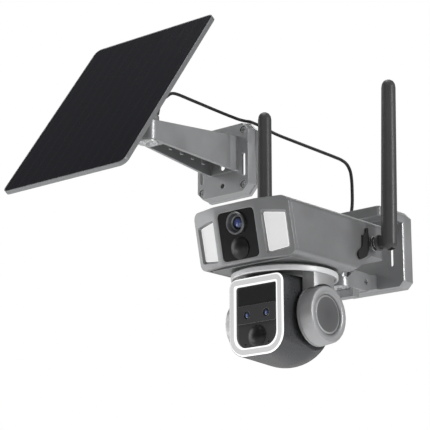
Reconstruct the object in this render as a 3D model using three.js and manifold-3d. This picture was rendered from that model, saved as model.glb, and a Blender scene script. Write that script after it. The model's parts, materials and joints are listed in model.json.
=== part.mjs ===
// Solar-powered security camera: a wall bracket with a tilting solar panel, a wall bracket with a
// twin-antenna camera housing, and a pan-and-tilt camera head hung under the housing.
// Millimetres, +Z up. The wall is the plane Y = 0 and the camera looks along -Y.
// The origin is the centre of the camera wall plate's back face.
import * as THREE from 'three';
import { mergeVertices } from 'three/addons/utils/BufferGeometryUtils.js';
import { ConvexGeometry } from 'three/addons/geometries/ConvexGeometry.js';
import Module from 'manifold-3d';

const wasm = await Module();
wasm.setup();

// ---------------------------------------------------------------- driving dimensions
const GAP = 0.3;                 // running gap between neighbouring pieces

// solar wall bracket
const SOLAR_X = -228.4;          // centre of the solar wall plate
const SOLAR_Z = 157.9;
const PLATE_T = 18.4;            // total thickness of the solar wall plate
const PLATE_FRONT = [42.4, 45.2];
const PLATE_BACK = [45.4, 48.2];
const PLATE_CHAMFER = 9;
const ARM_END_HALF = 14.2;       // half width at the swivel end
const ARM_ROOT_HALF = 22.9;      // half width at the plate end
const SWIVEL_Y = -159;           // solar swivel axis
const ARM_END_Z = [152.8, 177.3];
const ARM_ROOT_Z = [142.3, 186.9];

// solar panel
const PANEL_W = 199.4;
const PANEL_L = 270;
const PANEL_T = 5.4;
const PANEL_TILT = 54.9;         // slope from horizontal
const PANEL_CENTRE = [-226.9, 186.6];   // Y and Z of the front face's centre
const PANEL_CORNER = 9;
const FRAME_LIP = 1.2;
const HINGE = [-192, 190];       // Y and Z of the panel hinge axis

// camera wall bracket
const CAM_HALF_X = 46;
const CAM_HALF_Z = 45.2;
const CAM_T = 16.4;
const HOOD_Y = -64.8;            // front of the hood
const HOOD_DROP = 12.4;
const PIVOT = [-48.3, -40.1];    // Y and Z of the bracket tilt screw
const TURN_Y = -82.4;            // camera swivel axis
const FORK_HALF = 14;

// camera housing
const BODY_HALF = 65.6;
const FACET_HALF = 28.6;
const WING_SET_BACK = 9.4;
const BODY_BOTTOM = -49.9;
const BODY_TOP = 12.8;
const BODY_FRONT = -253.8;       // at the bottom edge
const BODY_REAR = -83;
const FRONT_LEAN = -0.2174;      // Y change of the front face per mm of height
const LEDGE_Z = -28.4;
const LEDGE_Y = -109.3;
const SLOPE_Y = -140.6;
const BEZEL_T = 5;
const WALL = 2.6;

// pan and tilt unit
const PAN_Y = -181.4;
const TABLE_R = 59;
const TABLE_Z = [-59, -52.8];
const TILT_Z = -103.5;
const HEAD_HALF = 36.5;
const HEAD_R = 51;
const RING = { half: 37.3, top: 42, bottom: -43.6, rTop: 10, rBottom: 22 };
const RING_BAND = 8.8;
const RING_Y = -50.8;

// antennas
const ANTENNA_X = 88.4;
const ANTENNA_Y = -106.7;
const ANTENNA_Z = -14.1;
const ANTENNA_LEAN = 2.3;        // both antennas, towards the wall
const LEFT_SPLAY = 1.2;          // the left antenna, outwards

// colours
const SILVER = 0x9c9ea0;
const DARK_SILVER = 0x74767a;
const BLACK = 0x17181a;
const SOFT_BLACK = 0x2a2b2d;
const WHITE = 0xf2f3f3;
const STEEL = 0xc4c6c8;

// ---------------------------------------------------------------- helpers
const group = new THREE.Group();
group.name = 'solar_security_camera';

const V = (x, y, z) => new THREE.Vector3(x, y, z);
const rad = THREE.MathUtils.degToRad;

function solid(geometry) {
  const bare = geometry.clone();
  bare.deleteAttribute('normal');
  bare.deleteAttribute('uv');
  const merged = mergeVertices(bare, 1e-4);
  const index = [];
  const source = merged.index.array;
  for (let i = 0; i < source.length; i += 3) {
    const [a, b, c] = [source[i], source[i + 1], source[i + 2]];
    if (a !== b && b !== c && c !== a) index.push(a, b, c);
  }
  return new wasm.Manifold(new wasm.Mesh({
    numProp: 3,
    vertProperties: new Float32Array(merged.attributes.position.array),
    triVerts: new Uint32Array(index),
  }));
}

function add(name, body, color, roughness = 0.5, metalness = 0) {
  const mesh = body.getMesh();
  const geometry = new THREE.BufferGeometry();
  geometry.setAttribute('position', new THREE.BufferAttribute(new Float32Array(mesh.vertProperties), 3));
  geometry.setIndex(new THREE.BufferAttribute(new Uint32Array(mesh.triVerts), 1));
  geometry.computeVertexNormals();
  const piece = new THREE.Mesh(geometry, new THREE.MeshStandardMaterial({ color, roughness, metalness }));
  piece.name = name;
  group.add(piece);
}

const join = (...bodies) => bodies.reduce((sum, body) => sum.add(body));
const cut = (body, ...tools) => tools.reduce((left, tool) => left.subtract(tool), body);

function box(x0, x1, y0, y1, z0, z1) {
  const geometry = new THREE.BoxGeometry(x1 - x0, y1 - y0, z1 - z0);
  geometry.translate((x0 + x1) / 2, (y0 + y1) / 2, (z0 + z1) / 2);
  return solid(geometry);
}

// corners: [x, y, radius]; returns the outline with its corners rounded
function outline(corners, steps = 5) {
  const points = [];
  const count = corners.length;
  corners.forEach(([x, y, r = 0], i) => {
    const here = new THREE.Vector2(x, y);
    if (!r) {
      points.push(here);
      return;
    }
    const before = new THREE.Vector2(...corners[(i + count - 1) % count].slice(0, 2)).sub(here).normalize();
    const after = new THREE.Vector2(...corners[(i + 1) % count].slice(0, 2)).sub(here).normalize();
    const half = Math.acos(THREE.MathUtils.clamp(before.dot(after), -1, 1)) / 2;
    const centre = before.clone().add(after).normalize().multiplyScalar(r / Math.sin(half)).add(here);
    const start = before.clone().multiplyScalar(r / Math.tan(half)).add(here).sub(centre);
    const end = after.clone().multiplyScalar(r / Math.tan(half)).add(here).sub(centre);
    const a0 = Math.atan2(start.y, start.x);
    let sweep = Math.atan2(end.y, end.x) - a0;
    if (sweep > Math.PI) sweep -= 2 * Math.PI;
    if (sweep < -Math.PI) sweep += 2 * Math.PI;
    for (let k = 0; k <= steps; k += 1) {
      const a = a0 + (sweep * k) / steps;
      points.push(new THREE.Vector2(centre.x + r * Math.cos(a), centre.y + r * Math.sin(a)));
    }
  });
  return points;
}

function extrude(points, depth) {
  return new THREE.ExtrudeGeometry(new THREE.Shape(points), { depth, bevelEnabled: false, steps: 1 });
}

function toFrame(geometry, origin, ex, ey, ez) {
  const matrix = new THREE.Matrix4().makeBasis(ex, ey, ez).setPosition(origin);
  geometry.applyMatrix4(matrix);
  return solid(geometry);
}

const X = V(1, 0, 0);
const Y = V(0, 1, 0);
const Z = V(0, 0, 1);
const minus = (v) => v.clone().negate();

// points in (Y, Z), (X, Z) and (X, Y)
const prismX = (points, x0, x1) => toFrame(extrude(points, x1 - x0), V(x0, 0, 0), Y, Z, X);
const prismY = (points, y0, y1) => toFrame(extrude(points, y1 - y0), V(0, y1, 0), X, Z, minus(Y));
const prismZ = (points, z0, z1) => toFrame(extrude(points, z1 - z0), V(0, 0, z0), X, Y, Z);

// profile: [radius, height]; turned about an axis through origin
function turned(profile, origin, axis = Z, segments = 24) {
  const geometry = new THREE.LatheGeometry(profile.map(([r, h]) => new THREE.Vector2(r, h)), segments);
  const side = Math.abs(axis.z) > 0.9 ? X.clone() : Z.clone();
  const ex = side.sub(axis.clone().multiplyScalar(side.dot(axis))).normalize();
  const ez = new THREE.Vector3().crossVectors(ex, axis);
  return toFrame(geometry, origin, ex, axis, ez);
}

function rod(radius, h0, h1, origin, axis = Z, segments = 20) {
  return turned([[0, h0], [radius, h0], [radius, h1], [0, h1]], origin, axis, segments);
}

function tube(inner, outer, h0, h1, origin, axis = Z, segments = 24) {
  return turned([[inner, h0], [outer, h0], [outer, h1], [inner, h1], [inner, h0]], origin, axis, segments);
}

const hull = (points) => solid(new ConvexGeometry(points));

function cord(points, radius, steps) {
  const path = new THREE.CatmullRomCurve3(points, false, 'centripetal');
  const circle = [];
  for (let i = 0; i < 8; i += 1) {
    const turn = (i * Math.PI) / 4;
    circle.push(new THREE.Vector2(radius * Math.cos(turn), radius * Math.sin(turn)));
  }
  const sweep = { steps, extrudePath: path, bevelEnabled: false };
  return solid(new THREE.ExtrudeGeometry(new THREE.Shape(circle), sweep));
}

// octagonal ring of points at a given Y
function octagon(halfX, halfZ, chamfer, y, cx = 0, cz = 0) {
  const [a, b] = [halfX - chamfer, halfZ - chamfer];
  return [
    [a, halfZ], [halfX, b], [halfX, -b], [a, -halfZ], [-a, -halfZ], [-halfX, -b], [-halfX, b], [-a, halfZ],
  ]
    .map(([x, z]) => V(cx + x, y, cz + z));
}

// the spoked cap under each swivel: a thin hub, six spokes and a rim
function spokedCap(origin, rimRadius) {
  const parts = [
    tube(rimRadius - 2, rimRadius, -2.4, 0, origin, Z, 20),
    tube(2.6, 5.6, -2.8, 0, origin, Z, 16),
    tube(2.6, rimRadius - 1, -0.9, 0, origin, Z, 20),
  ];
  for (let i = 0; i < 6; i += 1) {
    const spoke = box(4.6, rimRadius - 1, -0.9, 0.9, -2, 0).rotate([0, 0, i * 60 + 15]);
    parts.push(spoke.translate([origin.x, origin.y, origin.z]));
  }
  return join(...parts);
}

// ---------------------------------------------------------------- solar wall bracket
const plateHoles = [[34.5, 36], [34.5, -36], [-34.5, -36], [-34.5, 36]];
const solarPlate = join(
  hull([
    ...octagon(...PLATE_BACK, PLATE_CHAMFER + 3, 0, SOLAR_X, SOLAR_Z),
    ...octagon(...PLATE_BACK, PLATE_CHAMFER + 3, -5, SOLAR_X, SOLAR_Z),
  ]),
  hull([
    ...octagon(PLATE_BACK[0] - 0.8, PLATE_BACK[1] - 0.8, PLATE_CHAMFER + 3, -4.5, SOLAR_X, SOLAR_Z),
    ...octagon(...PLATE_FRONT, PLATE_CHAMFER, -PLATE_T, SOLAR_X, SOLAR_Z),
  ]),
);

function armSection(half, [z0, z1], y) {
  const left = SOLAR_X - half;
  const right = SOLAR_X + half;
  return [V(left, y, z0), V(right, y, z0), V(right, y, z1), V(left, y, z1)];
}

const armEnd = [];
for (let i = 0; i <= 12; i += 1) {
  const a = Math.PI + (i * Math.PI) / 12;
  for (const z of ARM_END_Z) {
    armEnd.push(V(SOLAR_X + ARM_END_HALF * Math.cos(a), SWIVEL_Y + ARM_END_HALF * Math.sin(a), z));
  }
}
const armBody = hull([...armEnd, ...armSection(ARM_ROOT_HALF, ARM_ROOT_Z, -30)]);
const armFoot = hull([
  ...armSection(ARM_ROOT_HALF - 0.1, ARM_ROOT_Z, -30.5),
  ...armSection(ARM_ROOT_HALF + 2, ARM_ROOT_Z, -PLATE_T + 1),
]);
// open channel along the underside, with five small fins hanging from its roof
const channel = hull([
  V(SOLAR_X - 11.2, -143, 148), V(SOLAR_X + 11.2, -143, 148),
  V(SOLAR_X - 11.2, -143, 172), V(SOLAR_X + 11.2, -143, 172),
  V(SOLAR_X - 19.6, -PLATE_T - 0.1, 132), V(SOLAR_X + 19.6, -PLATE_T - 0.1, 132),
  V(SOLAR_X - 19.6, -PLATE_T - 0.1, 181), V(SOLAR_X + 19.6, -PLATE_T - 0.1, 181),
]);
const fins = [-138, -117.5, -97, -76.5, -56].map((y) => {
  const low = 152.6 - (10.2 * (y + 143)) / 113;
  const roof = 172 + (9 * (y + 143)) / 124.5;
  return box(SOLAR_X - 0.8, SOLAR_X + 0.8, y - 2.6, y + 2.6, low + 1.4, roof + 1.6);
});
// the plate is hollow behind, around its screw bosses and a solid upper middle
const plateHollow = cut(
  box(SOLAR_X - 40.6, SOLAR_X + 40.6, -PLATE_T + WALL, 1, SOLAR_Z - 41, SOLAR_Z + 41),
  box(SOLAR_X - 17, SOLAR_X + 17, -PLATE_T, 2, SOLAR_Z + 2, SOLAR_Z + 42),
  box(SOLAR_X - 7, SOLAR_X + 17, -PLATE_T, 2, SOLAR_Z - 2.5, SOLAR_Z + 3),
  rod(6, -PLATE_T, 2, V(SOLAR_X, 0, SOLAR_Z - 32.4), Y, 16),
  ...plateHoles.map(([x, z]) => box(
    SOLAR_X + x - 7, SOLAR_X + x + 7, -PLATE_T, 2, SOLAR_Z + z - 7, SOLAR_Z + z + 7,
  )),
);
const armBoss = rod(13.6, 170, ARM_END_Z[1] + 1.9, V(SOLAR_X, SWIVEL_Y, 0), Z, 32);
let solarBracket = join(solarPlate, armBody, armFoot, armBoss);
solarBracket = cut(
  solarBracket,
  channel,
  plateHollow,
  rod(4.2, -22, 2, V(SOLAR_X, 0, SOLAR_Z - 8), Y, 20),
  rod(4.4, 0, 60, V(SOLAR_X, SWIVEL_Y, 140), Z, 16),
  rod(13, 0, 4, V(SOLAR_X, SWIVEL_Y, 149.8), Z, 20),
  rod(3.3, -22, 2, V(SOLAR_X, 0, SOLAR_Z - 32.4), Y, 16),
  ...plateHoles.map(([x, z]) => rod(2.7, -22, 2, V(SOLAR_X + x, 0, SOLAR_Z + z), Y, 12)),
  ...plateHoles.map(([x, z]) => rod(5, -22, -PLATE_T + 3.7, V(SOLAR_X + x, 0, SOLAR_Z + z), Y, 16)),
);
for (const side of [-1, 1]) {
  const slot = outline([
    [SOLAR_X + side * 35.5 - 2.4, SOLAR_Z - 25, 2.2], [SOLAR_X + side * 35.5 + 2.4, SOLAR_Z - 25, 2.2],
    [SOLAR_X + side * 35.5 + 2.4, SOLAR_Z + 5, 2.2], [SOLAR_X + side * 35.5 - 2.4, SOLAR_Z + 5, 2.2],
  ], 4);
  solarBracket = cut(solarBracket, prismY(slot, -PLATE_T - 1, 1));
}
solarBracket = join(solarBracket, ...fins);
add('solar_wall_bracket', solarBracket, SILVER, 0.42, 0.35);

plateHoles.forEach(([x, z], i) => {
  const at = V(SOLAR_X + x, 0, SOLAR_Z + z);
  const screw = cut(
    join(
      rod(4.5, -PLATE_T + 1.1, -PLATE_T + 3.4, at, Y, 16),
      rod(2.1, -PLATE_T + 3, -0.4, at, Y, 12),
    ),
    box(at.x - 2.6, at.x + 2.6, -PLATE_T, -PLATE_T + 2.3, at.z - 0.5, at.z + 0.5),
    box(at.x - 0.5, at.x + 0.5, -PLATE_T, -PLATE_T + 2.3, at.z - 2.6, at.z + 2.6),
  );
  add(`solar_wall_screw_${i + 1}`, screw, DARK_SILVER, 0.35, 0.8);
});

// ---------------------------------------------------------------- solar swivel
const swivelAt = V(SOLAR_X, SWIVEL_Y, 0);
const topZ = ARM_END_Z[1] + 2.2;
const tongue = prismX(outline([
  [HINGE[0] - 11, HINGE[1] - 11, 10.5], [HINGE[0] + 9, topZ + 0.4, 4], [SWIVEL_Y - 6, topZ + 0.4, 0],
  [SWIVEL_Y - 2, topZ + 5.4, 0], [SWIVEL_Y - 10, topZ + 7.5, 4], [HINGE[0] + 11, HINGE[1] + 8, 5],
  [HINGE[0] + 6, HINGE[1] + 11, 5], [HINGE[0] - 11, HINGE[1] + 11, 10.5],
]), SOLAR_X - 9, SOLAR_X + 9);
const knuckle = cut(
  join(
    turned([
      [0, topZ], [13.2, topZ], [14, topZ + 0.8], [14, topZ + 4.6], [13, topZ + 5.6], [0, topZ + 5.6],
    ], swivelAt, Z, 24),
    tongue,
  ),
  rod(3.4, -20, 20, V(SOLAR_X, HINGE[0], HINGE[1]), X, 16),
  rod(4.4, topZ - 1, topZ + 3.4, swivelAt, Z, 16),
);
add('solar_swivel_knuckle', knuckle, SILVER, 0.42, 0.35);

const boltLength = topZ + 3;
add('solar_swivel_bolt', join(
  rod(4, 150.4, boltLength, swivelAt, Z, 16),
  rod(2.4, 148.2, 151, swivelAt, Z, 12),
), STEEL, 0.3, 0.9);
add('solar_swivel_cap', cut(
  spokedCap(V(SOLAR_X, SWIVEL_Y, 152.4), 12.6),
  rod(4.3, 150.1, 154, swivelAt, Z, 16),
  rod(2.7, 148, 151, swivelAt, Z, 16),
), SILVER, 0.4, 0.4);

// ---------------------------------------------------------------- solar panel
const tilt = rad(PANEL_TILT);
const slopeDir = V(0, Math.cos(tilt), Math.sin(tilt));
const outDir = V(0, -Math.sin(tilt), Math.cos(tilt));
const panelCentre = V(SOLAR_X, ...PANEL_CENTRE);
// local point: x across, s up the slope, h out of the front face
const onPanel = (x, s, h) => panelCentre.clone()
  .addScaledVector(X, x).addScaledVector(slopeDir, s).addScaledVector(outDir, h);
const panelPrism = (points, h0, h1) => toFrame(
  extrude(points, h1 - h0), onPanel(0, 0, h0), X, slopeDir, outDir,
);
const panelRect = (w, l, r) => outline([[-w, -l, r], [w, -l, r], [w, l, r], [-w, l, r]], 6);
const [pw, pl] = [PANEL_W / 2, PANEL_L / 2];

const frame = cut(
  panelPrism(panelRect(pw, pl, PANEL_CORNER), -PANEL_T, 0),
  panelPrism(panelRect(pw - FRAME_LIP, pl - FRAME_LIP, PANEL_CORNER - FRAME_LIP), -PANEL_T + 1.4, 1),
  panelPrism(panelRect(pw - 9, pl - 9, 3), -PANEL_T - 1, 1),
);
add('solar_panel_frame', frame, 0xa9abad, 0.35, 0.7);
const sheetHalf = [pw - FRAME_LIP - GAP, pl - FRAME_LIP - GAP, PANEL_CORNER - FRAME_LIP - GAP];
add('solar_cell_glass', panelPrism(panelRect(...sheetHalf), -2.6, -0.5), 0x20222b, 0.25, 0);
add('solar_back_sheet', panelPrism(panelRect(...sheetHalf), -PANEL_T + 1.7, -2.9), 0x3a3c40, 0.6, 0);

const boxS = 53;                 // junction box position up the slope
const boxX = 4;
const junctionOutline = outline([[-22, -13, 4], [22, -13, 4], [22, 13, 4], [-22, 13, 4]], 4)
  .map((p) => new THREE.Vector2(p.x + boxX, p.y + boxS));
const backH = -PANEL_T + 1.4;
const glandAt = onPanel(boxX, boxS, 0);
add('junction_box', cut(
  panelPrism(junctionOutline, -20.6, backH - 0.1),
  rod(4.2, 5, 40, glandAt, minus(outDir), 16),
), BLACK, 0.55, 0);
add('cable_gland', turned([
  [2.3, 14], [3.9, 14], [3.9, 20.9], [7.2, 20.9], [7.2, 24.4], [5.6, 25.2], [5, 29.6], [2.3, 29.6], [2.3, 14],
], glandAt, minus(outDir), 16), SOFT_BLACK, 0.5, 0);

const hingeLocal = V(0, HINGE[0], HINGE[1]).sub(V(0, ...PANEL_CENTRE));
const hingeS = hingeLocal.dot(slopeDir);
const hingeH = hingeLocal.dot(outDir);
const hingeAt = V(SOLAR_X, ...HINGE);
const ears = [-1, 1].map((side) => {
  const ear = [
    [hingeS - 20, backH - 2.6, 0], [hingeS - 9.5, hingeH - 9.5, 9], [hingeS + 9.5, hingeH - 9.5, 9],
    [hingeS + 13, backH - 2.6, 0],
  ];
  const x0 = side > 0 ? 9.6 : -14;
  // outline in (slope, out) turned into a plate across X
  return toFrame(extrude(outline(ear, 6), 4.4), onPanel(x0, 0, 0), slopeDir, outDir, X);
});
const hingePad = panelPrism(
  outline([[-32, -30, 5], [32, -30, 5], [32, 15.5, 5], [-32, 15.5, 5]], 4)
    .map((p) => new THREE.Vector2(p.x, p.y + hingeS)),
  backH - 3, backH - 0.1,
);
add('panel_hinge_bracket', cut(
  join(hingePad, ...ears),
  rod(3.4, -20, 20, hingeAt, X, 16),
), SILVER, 0.42, 0.4);
add('panel_tilt_bolt', join(
  rod(3, -15, 21.6, hingeAt, X, 16),
  rod(5.6, -18.4, -14.3, hingeAt, X, 6),
), STEEL, 0.3, 0.9);
const knob = cut(
  turned([
    [3.3, 14.4], [9, 14.4], [9, 15.4], [10.5, 16.2], [10.5, 20.4], [9.6, 21.2], [3.3, 21.2], [3.3, 14.4],
  ], hingeAt, X, 20),
  ...[0, 60, 120, 180, 240, 300].map((a) => rod(
    2, 13, 23, hingeAt.clone().add(V(0, 11.6 * Math.cos(rad(a)), 11.6 * Math.sin(rad(a)))), X, 12,
  )),
);
add('panel_tilt_knob', knob, BLACK, 0.5, 0);

// ---------------------------------------------------------------- panel cable
const CABLE_R = 2;
const glandTip = glandAt.clone().addScaledVector(outDir, -28.4);
const clipAt = V(-213, -155, 206);
const leadB = [
  glandTip, glandTip.clone().addScaledVector(outDir, -5.5), V(-219.4, -165.2, 207), V(-215.2, -162, 206.2),
  V(-213.3, -159.8, 206), clipAt.clone().add(V(-0.1, -3.2, 0)),
];
add('panel_cable_lead_b', cord(leadB, CABLE_R, 12), BLACK, 0.6, 0);
const leadA = [
  clipAt.clone().add(V(0, 2.9, 0)), V(-212.8, -147, 207.6), V(-212.6, -141, 212.2), V(-212.3, -135, 216.6),
  V(-212, -128, 218.4), V(-210.8, -95, 217), V(-209.2, -60, 214.6), V(-207.1, -24, 212.3), V(-205.4, -10, 211.4),
  V(-201.4, -3.8, 210.3), V(-195.2, -2.4, 208.5), V(-188, -2.4, 204.7), V(-179, -2.4, 199.7), V(-171.4, -2.4, 195.4),
];
add('panel_cable_lead_a', cord(leadA, CABLE_R, 36), BLACK, 0.6, 0);
add('knuckle_cable_clip', cut(
  join(
    tube(2.3, 4.4, -2.6, 2.6, clipAt, Y, 16),
    hull([
      V(clipAt.x - 3.6, clipAt.y - 2.6, clipAt.z - 3), V(clipAt.x + 2, clipAt.y - 2.6, clipAt.z - 3),
      V(clipAt.x - 3.6, clipAt.y + 2.6, clipAt.z - 3), V(clipAt.x + 2, clipAt.y + 2.6, clipAt.z - 3),
      V(SOLAR_X + 9.4, clipAt.y - 3, topZ + 5.9), V(SOLAR_X + 12.6, clipAt.y - 3, topZ + 5.9),
      V(SOLAR_X + 9.4, clipAt.y + 2.6, topZ + 5.9), V(SOLAR_X + 12.6, clipAt.y + 2.6, topZ + 5.9),
    ]),
  ),
  rod(2.3, -6, 6, clipAt, Y, 16),
), BLACK, 0.6, 0);

const runPoints = [
  V(-170.9, -2.4, 195.05), V(-155.7, -2.4, 184.8), V(-120, -2.4, 165.6), V(-85, -2.4, 147.3), V(-62, -2.4, 135.2),
  V(-51, -2.4, 129), V(-43.6, -2.4, 122.6), V(-38.6, -2.4, 113.5), V(-36.5, -2.4, 102), V(-36, -2.4, 85),
  V(-36, -3, 70), V(-36, -5, 60), V(-36, -7, 53), V(-36, -7.4, 49), V(-36, -7.4, 41),
];
add('panel_cable_wall_run', cord(runPoints, CABLE_R, 44), BLACK, 0.6, 0);
const runDir = V(-155.7 + 170.9, 0, 184.8 - 195.05).normalize();
const saddleAt = V(-167, -2.4, 192.4);
add('wall_cable_saddle', cut(
  join(
    tube(2.3, 3.6, -3, 3, saddleAt, runDir, 16),
    box(saddleAt.x - 2.6, saddleAt.x + 4.4, -1.7, -0.1, saddleAt.z - 10, saddleAt.z - 3),
    box(saddleAt.x - 2.2, saddleAt.x + 3, -4, -0.1, saddleAt.z - 4.6, saddleAt.z - 2.6),
  ),
  rod(2.3, -9, 9, saddleAt, runDir, 16),
  box(-190, -140, -0.1, 6, 170, 220),
), BLACK, 0.6, 0);

// ---------------------------------------------------------------- camera wall bracket
const camPlate = hull([
  ...octagon(CAM_HALF_X, CAM_HALF_Z, 7, 0), ...octagon(CAM_HALF_X, CAM_HALF_Z, 7, -CAM_T + 3),
  ...octagon(CAM_HALF_X - 1.6, CAM_HALF_Z - 1.6, 6.4, -CAM_T),
]);
const hoodZ = CAM_HALF_Z - 14;
const hood = hull([
  V(-CAM_HALF_X, -6, hoodZ), V(CAM_HALF_X, -6, hoodZ), V(-CAM_HALF_X, -6, CAM_HALF_Z - 6),
  V(CAM_HALF_X, -6, CAM_HALF_Z - 6), V(-CAM_HALF_X + 5, -6, CAM_HALF_Z), V(CAM_HALF_X - 5, -6, CAM_HALF_Z),
  V(-CAM_HALF_X, HOOD_Y + 2.2, hoodZ), V(CAM_HALF_X, HOOD_Y + 2.2, hoodZ),
  V(-CAM_HALF_X, HOOD_Y + 2.2, 42.4), V(CAM_HALF_X, HOOD_Y + 2.2, 42.4),
  V(-CAM_HALF_X + 2.2, HOOD_Y, hoodZ), V(CAM_HALF_X - 2.2, HOOD_Y, hoodZ),
  V(-CAM_HALF_X + 2.2, HOOD_Y, 42.4), V(CAM_HALF_X - 2.2, HOOD_Y, 42.4),
]);
const hoodPocket = box(-CAM_HALF_X + 3, CAM_HALF_X - 3, HOOD_Y + 3, -CAM_T - 2, hoodZ - 1, hoodZ + 7);
const tongueHalf = FORK_HALF - 5.2;
const camTongue = join(
  rod(10.2, -tongueHalf, tongueHalf, V(0, ...PIVOT), X, 20),
  prismX([[PIVOT[0], PIVOT[1] - 10.2], [-CAM_T + 1, PIVOT[1] - 2], [-CAM_T + 1, PIVOT[1] + 14],
    [PIVOT[0], PIVOT[1] + 10.2]].map(([y, z]) => new THREE.Vector2(y, z)), -tongueHalf, tongueHalf),
);
let cameraBracket = join(camPlate, cut(hood, hoodPocket), camTongue);
cameraBracket = cut(
  cameraBracket,
  rod(3.1, -20, 20, V(0, ...PIVOT), X, 16),
  rod(3.6, 36, 50, V(-36, -7.4, 0), Z, 16),
);
for (const side of [-1, 1]) {
  const slot = outline([
    [side * 28.4 - 2.1, -18.5, 2], [side * 28.4 + 2.1, -18.5, 2],
    [side * 28.4 + 2.1, 12, 2], [side * 28.4 - 2.1, 12, 2],
  ], 4);
  const hollow = box(
    Math.min(side * 12, side * 40.8), Math.max(side * 12, side * 40.8), -CAM_T + WALL, 1, -39, 37.5,
  );
  cameraBracket = cut(cameraBracket, hollow, prismY(slot, -CAM_T - 1, 1));
}
add('camera_wall_bracket', cameraBracket, SILVER, 0.42, 0.35);
add('cable_grommet', turned([
  [2.3, 38.5], [3.3, 38.5], [3.3, 45.5], [5.2, 45.5], [5, 48.2], [3.6, 49], [2.3, 49], [2.3, 38.5],
], V(-36, -7.4, 0), Z, 16), SOFT_BLACK, 0.6, 0);

// ---------------------------------------------------------------- camera bracket arm and swivel
const [py, pz] = PIVOT;
const armLow = pz - 10.5;
const armProfile = outline([
  [py + 10.5, armLow, 10.4], [py + 10.5, pz + 10.5, 10.4], [-69, pz + 10.7, 2],
  [-83, -39.6, 2], [-83, armLow, 0],
], 8);
const turnAt = V(0, TURN_Y, 0);
const cameraArm = cut(
  join(
    prismX(armProfile, -FORK_HALF, FORK_HALF),
    rod(FORK_HALF, armLow, -39.6, turnAt, Z, 28),
    box(-FORK_HALF + 0.4, FORK_HALF - 0.4, -74, -62.4, -60.5, armLow + 1),
  ),
  box(-tongueHalf - GAP, tongueHalf + GAP, py - 11.4, -30, -65, -20),
  rod(11, -39.5, -20, turnAt, Z, 28),
  rod(13.5, LEDGE_Z - 4.8, -20, turnAt, Z, 28),
  rod(3.1, -20, 20, V(0, py, pz), X, 16),
  rod(4.4, -60, -30, turnAt, Z, 16),
  rod(13, armLow - 1, armLow + 2.6, turnAt, Z, 20),
);
add('camera_bracket_arm', cameraArm, SILVER, 0.42, 0.35);
add('bracket_tilt_screw', cut(
  rod(2.8, -12.6, 12.6, V(0, py, pz), X, 16),
  rod(1.5, 10.8, 14, V(0, py, pz), X, 6),
), DARK_SILVER, 0.35, 0.8);
add('camera_swivel_cap', cut(
  spokedCap(V(0, TURN_Y, armLow + 2.3), 12.6),
  rod(4.3, armLow, armLow + 4, turnAt, Z, 16),
  rod(2.7, armLow - 3, armLow + 1, turnAt, Z, 16),
), SILVER, 0.4, 0.4);
add('camera_swivel_bolt', join(
  rod(4, armLow + 0.2, -34, turnAt, Z, 16),
  rod(2.4, armLow - 1.8, armLow + 0.5, turnAt, Z, 12),
), STEEL, 0.3, 0.9);
const footTop = LEDGE_Z - GAP;
const footPlan = [];
for (let i = 0; i <= 16; i += 1) {
  const a = (i * Math.PI) / 16;
  footPlan.push(new THREE.Vector2(13 * Math.cos(a), TURN_Y + 13 * Math.sin(a)));
}
footPlan.push(new THREE.Vector2(-13, LEDGE_Y + 3), new THREE.Vector2(13, LEDGE_Y + 3));
add('housing_mount_foot', cut(
  join(prismZ(footPlan, footTop - 4, footTop), rod(10.5, -39.3, footTop - 1, turnAt, Z, 24)),
  rod(4.4, -45, -33.6, turnAt, Z, 16),
), SILVER, 0.42, 0.35);

// ---------------------------------------------------------------- camera housing
function leaning(points) {
  const body = extrude(points, 110);
  const shear = new THREE.Matrix4().set(
    1, 0, 0, 0,
    0, 1, FRONT_LEAN, 0,
    0, 0, 1, BODY_BOTTOM - 20,
    0, 0, 0, 1,
  );
  body.translate(0, -20 * FRONT_LEAN, 0);
  body.applyMatrix4(shear);
  return solid(body);
}

// everything behind the three front facets, set back by d
function behindFront(d) {
  const rim = BODY_FRONT + WING_SET_BACK + d;
  return leaning([
    [-120, rim + (120 - BODY_HALF) * (WING_SET_BACK / (BODY_HALF - FACET_HALF))],
    [-FACET_HALF, BODY_FRONT + d], [FACET_HALF, BODY_FRONT + d],
    [120, rim + (120 - BODY_HALF) * (WING_SET_BACK / (BODY_HALF - FACET_HALF))],
    [120, 10], [-120, 10],
  ].map(([x, y]) => new THREE.Vector2(x, y)));
}

function housingBlock(inset, cornerR) {
  const t = inset;
  const side = [
    [-300, BODY_BOTTOM + t], [SLOPE_Y + t * 0.35, BODY_BOTTOM + t], [LEDGE_Y + t * 0.35, LEDGE_Z + t],
    [BODY_REAR - t, LEDGE_Z + t], [BODY_REAR - t, BODY_TOP - t], [-300, BODY_TOP - t],
  ].map(([y, z]) => new THREE.Vector2(y, z));
  const half = BODY_HALF - t;
  const section = outline([
    [-half, BODY_BOTTOM + t, cornerR], [half, BODY_BOTTOM + t, cornerR],
    [half, BODY_TOP - t, cornerR], [-half, BODY_TOP - t, cornerR],
  ], 6);
  const plan = outline([
    [-half, -300, 0], [half, -300, 0], [half, BODY_REAR - t, cornerR], [-half, BODY_REAR - t, cornerR],
  ], 6);
  return prismX(side, -80, 80).intersect(prismY(section, -300, -70)).intersect(prismZ(plan, -60, 30));
}

const outer = housingBlock(0, 8);
const inner = housingBlock(WALL, 5.4);
const baseX = BODY_HALF - 9.6;
const baseRear = SLOPE_Y - 3;
let shell = cut(
  outer.intersect(behindFront(BEZEL_T + GAP)),
  inner,
  box(-baseX - GAP, baseX + GAP, -300, baseRear + GAP, -60, BODY_BOTTOM + 3.4),
  rod(6.2, 60, 70, V(0, ANTENNA_Y, ANTENNA_Z), X, 20),
  rod(6.2, -70, -60, V(0, ANTENNA_Y, ANTENNA_Z), X, 20),
  box(60, 70, -127, -116.8, -23, -7),
);
add('housing_shell', shell, SILVER, 0.4, 0.35);

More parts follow.
